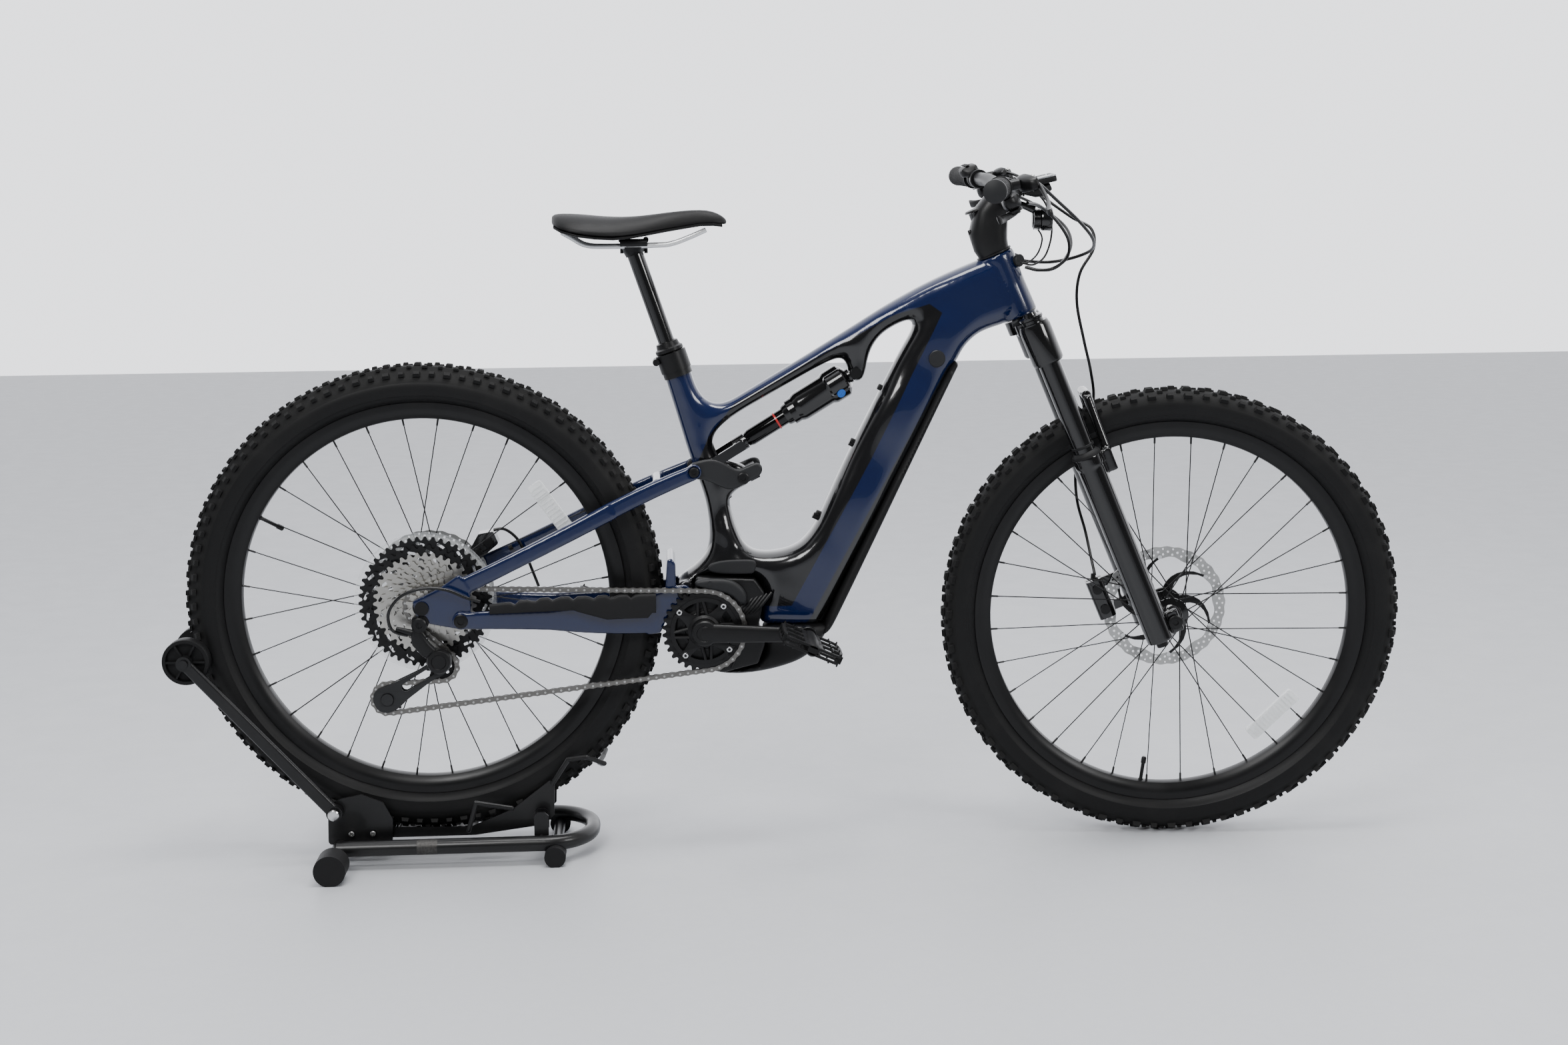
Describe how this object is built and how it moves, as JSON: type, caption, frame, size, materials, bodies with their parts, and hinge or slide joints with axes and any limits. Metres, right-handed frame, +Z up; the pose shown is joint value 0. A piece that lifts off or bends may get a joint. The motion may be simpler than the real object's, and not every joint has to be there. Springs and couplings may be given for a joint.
{
  "type": "bicycle on stand",
  "caption": "Full-suspension electric mountain bicycle standing with its rear wheel in a folding black tubular floor stand.",
  "frame": {"origin": "on the floor, below the middle of the whole object's box", "axes": "+X the way the bicycle faces, +Z up, drive side towards -Y"},
  "size_m": [1.9866, 0.7796, 1.0985],
  "materials": {
    "frame_paint": "deep gloss navy lacquer with gloss black inner faces",
    "battery_case": "matte black battery case",
    "motor_case": "satin black moulded motor housing",
    "cover_plastic": "dark grey moulded covers",
    "fastener_steel": "black bolts, axles and bearing cups",
    "dropper_outer": "black anodised outer post",
    "chain_steel": "nickel-plated chain",
    "stay_paint": "gloss navy lacquer",
    "guard_rubber": "ribbed soft guard",
    "axle_black": "black through-axle",
    "caliper_black": "black cast caliper",
    "changer_black": "black and grey gear changer",
    "cage_grey": "dark grey cage plates",
    "pulley_plastic": "black toothed jockey wheel",
    "link_grey": "matte grey machined rocker",
    "shock_black": "gloss black shock can",
    "shock_chrome": "polished shock shaft and black yoke",
    "tyre_black": "knobbly tread, smooth sidewalls",
    "rim_black": "satin black rim",
    "spoke_black": "black spokes",
    "hub_black": "black hub shell",
    "rotor_steel": "ground steel brake ring on a black spider",
    "cog_steel": "plated cogs with the largest in black",
    "crank_black": "satin black forged cranks",
    "ring_black": "black toothed ring",
    "pedal_plastic": "black moulded platform pedal",
    "fork_black": "gloss black fork",
    "stem_black": "satin black stem",
    "bar_black": "satin black bar",
    "grip_rubber": "ribbed grip with round end caps",
    "control_black": "black lever bodies and clamps",
    "lever_black": "satin black lever blade",
    "screen_glass": "dark gloss screen in a silver frame",
    "lamp_black": "finned gloss black lamp body",
    "hose_black": "black hose and cable housing",
    "saddle_cover": "black padded saddle",
    "rail_steel": "silver rails",
    "post_black": "polished black stanchion",
    "stand_paint": "black powder coat, worn to bare steel in places",
    "boot_rubber": "black rubber boots",
    "roller_rubber": "black moulded rollers"
  },
  "bodies": {
    "stand": {"stand_base": "stand_paint", "stand_feet": "boot_rubber", "stand_tray": "stand_paint", "stand_quadrants": "stand_paint"},
    "stand_arm": {"stand_arm_bars": "stand_paint"},
    "rollers": {"stand_rollers": "roller_rubber"},
    "bicycle": {"frame": "frame_paint", "battery_pack": "battery_case", "motor_unit": "motor_case", "frame_covers": "cover_plastic", "frame_fasteners": "fastener_steel", "dropper_lower": "dropper_outer", "chain": "chain_steel"},
    "rear_swing": {"chainstay": "stay_paint", "chainstay_guard": "guard_rubber"},
    "rear_stays": {"seatstay": "stay_paint", "rear_axle": "axle_black", "rear_caliper": "caliper_black", "derailleur_body": "changer_black", "rear_cables": "hose_black"},
    "rocker": {"rocker_link": "link_grey"},
    "shock_body": {"shock_can": "shock_black"},
    "shock_slider": {"shock_shaft": "shock_chrome"},
    "changer_cage": {"derailleur_cage": "cage_grey"},
    "upper_pulley": {"guide_pulley": "pulley_plastic"},
    "lower_pulley": {"tension_pulley": "pulley_plastic"},
    "rear_wheel": {"rear_tyre": "tyre_black", "rear_rim": "rim_black", "rear_spokes": "spoke_black", "rear_hub": "hub_black", "rear_rotor": "rotor_steel"},
    "cogs": {"cassette": "cog_steel"},
    "crankset": {"crank_arm_right": "crank_black", "crank_arm_left": "crank_black", "chainring": "ring_black"},
    "right_pedal": {"pedal_right": "pedal_plastic"},
    "left_pedal": {"pedal_left": "pedal_plastic"},
    "steering": {"fork_upper": "fork_black", "stem": "stem_black", "handlebar": "bar_black", "grips": "grip_rubber", "control_pods": "control_black", "display": "screen_glass", "headlight": "lamp_black", "control_cables": "hose_black"},
    "right_brake": {"brake_lever_right": "lever_black"},
    "left_brake": {"brake_lever_left": "lever_black"},
    "shifter": {"shift_lever": "lever_black"},
    "dropper_trigger": {"dropper_lever": "lever_black"},
    "fork_slider": {"fork_lowers": "fork_black", "front_caliper": "caliper_black", "front_brake_hose": "hose_black"},
    "front_wheel": {"front_tyre": "tyre_black", "front_rim": "rim_black", "front_spokes": "spoke_black", "front_hub": "hub_black", "front_rotor": "rotor_steel"},
    "saddle_post": {"dropper_upper": "post_black", "saddle_rails": "rail_steel", "saddle": "saddle_cover"}
  },
  "joints": [
    {"name": "bicycle_lift", "type": "slide", "parent": "stand", "child": "bicycle", "axis": [0, 0, 1], "range_m": [0, 0.25]},
    {"name": "arm_fold", "type": "hinge", "parent": "stand", "child": "stand_arm", "pos_m": [-0.736, 0, 0.086], "axis": [0, 1, 0], "range_deg": [-40, 0]},
    {"name": "roller_spin", "type": "hinge", "parent": "stand_arm", "child": "rollers", "pos_m": [-0.957, 0, 0.338], "axis": [0, 1, 0], "continuous": true},
    {"name": "suspension", "type": "hinge", "parent": "bicycle", "child": "rear_swing", "pos_m": [-0.172, 0, 0.43], "axis": [0, 1, 0], "range_deg": [0, 17], "stiffness_Nm_per_rad": 2770, "springref_deg": -1.72, "deforming": ["chain"]},
    {"name": "rear_stay_pivot", "type": "hinge", "parent": "rear_swing", "child": "rear_stays", "pos_m": [-0.521, 0, 0.401], "axis": [0, 1, 0], "range_deg": [-11, 0], "deforming": ["rear_cables"]},
    {"name": "rocker_pivot", "type": "hinge", "parent": "bicycle", "child": "rocker", "pos_m": [-0.074, 0, 0.612], "axis": [0, 1, 0], "range_deg": [0, 50]},
    {"name": "shock_eye_pivot", "type": "hinge", "parent": "bicycle", "child": "shock_body", "pos_m": [0.108, 0, 0.774], "axis": [0, 1, 0], "range_deg": [0, 4.5]},
    {"name": "shock_travel", "type": "slide", "parent": "shock_body", "child": "shock_slider", "axis": [0.8556, 0, 0.5177], "range_m": [0, 0.046]},
    {"name": "changer_cage_pivot", "type": "hinge", "parent": "rear_stays", "child": "changer_cage", "pos_m": [-0.558, 0, 0.336], "axis": [0, -1, 0], "range_deg": [0, 30], "stiffness_Nm_per_rad": 0.6, "springref_deg": -57.3},
    {"name": "upper_pulley_spin", "type": "hinge", "parent": "changer_cage", "child": "upper_pulley", "pos_m": [-0.556, 0, 0.324], "axis": [0, 1, 0], "continuous": true},
    {"name": "lower_pulley_spin", "type": "hinge", "parent": "changer_cage", "child": "lower_pulley", "pos_m": [-0.643, 0, 0.273], "axis": [0, 1, 0], "continuous": true},
    {"name": "rear_wheel_spin", "type": "hinge", "parent": "rear_stays", "child": "rear_wheel", "pos_m": [-0.582, 0, 0.421], "axis": [0, 1, 0], "continuous": true},
    {"name": "cog_spin", "type": "hinge", "parent": "rear_stays", "child": "cogs", "pos_m": [-0.582, 0, 0.421], "axis": [0, 1, 0], "continuous": true},
    {"name": "crank_spin", "type": "hinge", "parent": "bicycle", "child": "crankset", "pos_m": [-0.14, 0, 0.37], "axis": [0, 1, 0], "continuous": true},
    {"name": "right_pedal_spin", "type": "hinge", "parent": "crankset", "child": "right_pedal", "pos_m": [0.023, 0, 0.366], "axis": [0, 1, 0], "continuous": true},
    {"name": "left_pedal_spin", "type": "hinge", "parent": "crankset", "child": "left_pedal", "pos_m": [-0.303, 0, 0.374], "axis": [0, 1, 0], "continuous": true},
    {"name": "steering_turn", "type": "hinge", "parent": "bicycle", "child": "steering", "pos_m": [0.58138, 0, 0.35549], "axis": [-0.3843, 0, 0.9232], "range_deg": [-55, 65], "deforming": ["control_cables"]},
    {"name": "right_brake_squeeze", "type": "hinge", "parent": "steering", "child": "right_brake", "pos_m": [0.35402, -0.21705, 1.06712], "axis": [-0.3843, 0, 0.9232], "range_deg": [-13, 0], "stiffness_Nm_per_rad": 3, "springref_deg": 11.46},
    {"name": "left_brake_squeeze", "type": "hinge", "parent": "steering", "child": "left_brake", "pos_m": [0.38793, 0.20271, 1.08123], "axis": [-0.3843, 0, 0.9232], "range_deg": [0, 13], "stiffness_Nm_per_rad": 3, "springref_deg": -11.46},
    {"name": "shifter_push", "type": "hinge", "parent": "steering", "child": "shifter", "pos_m": [0.32026, -0.24279, 1.02668], "axis": [-0.3843, 0, 0.9232], "range_deg": [0, 25], "stiffness_Nm_per_rad": 0.8, "springref_deg": -17.19},
    {"name": "dropper_push", "type": "hinge", "parent": "steering", "child": "dropper_trigger", "pos_m": [0.35894, 0.23617, 1.04279], "axis": [-0.3843, 0, 0.9232], "range_deg": [-25, 0], "stiffness_Nm_per_rad": 0.8, "springref_deg": 17.19},
    {"name": "fork_travel", "type": "slide", "parent": "steering", "child": "fork_slider", "axis": [-0.3843, 0, 0.9232], "range_m": [0, 0.14], "stiffness_N_per_m": 8000, "springref_m": -0.02, "deforming": ["front_brake_hose"]},
    {"name": "front_wheel_spin", "type": "hinge", "parent": "fork_slider", "child": "front_wheel", "pos_m": [0.62185, -0.00383, 0.37234], "axis": [0.0805, 0.9962, 0.0335], "continuous": true},
    {"name": "saddle_drop", "type": "slide", "parent": "bicycle", "child": "saddle_post", "axis": [0.3186, 0, -0.9479], "range_m": [0, 0.125], "stiffness_N_per_m": 400, "springref_m": -0.5}
  ],
  "couplings": [
    {"joint": "rear_stay_pivot", "follows": "suspension", "ratio": -0.57833},
    {"joint": "rocker_pivot", "follows": "suspension", "ratio": 2.7609},
    {"joint": "shock_eye_pivot", "follows": "suspension", "ratio": 0.24428},
    {"joint": "shock_travel", "follows": "suspension", "m_per_rad": 0.14542},
    {"joint": "cog_spin", "follows": "crank_spin", "ratio": 2.2857},
    {"joint": "upper_pulley_spin", "follows": "crank_spin", "ratio": -3.2},
    {"joint": "lower_pulley_spin", "follows": "crank_spin", "ratio": 3.2}
  ]
}
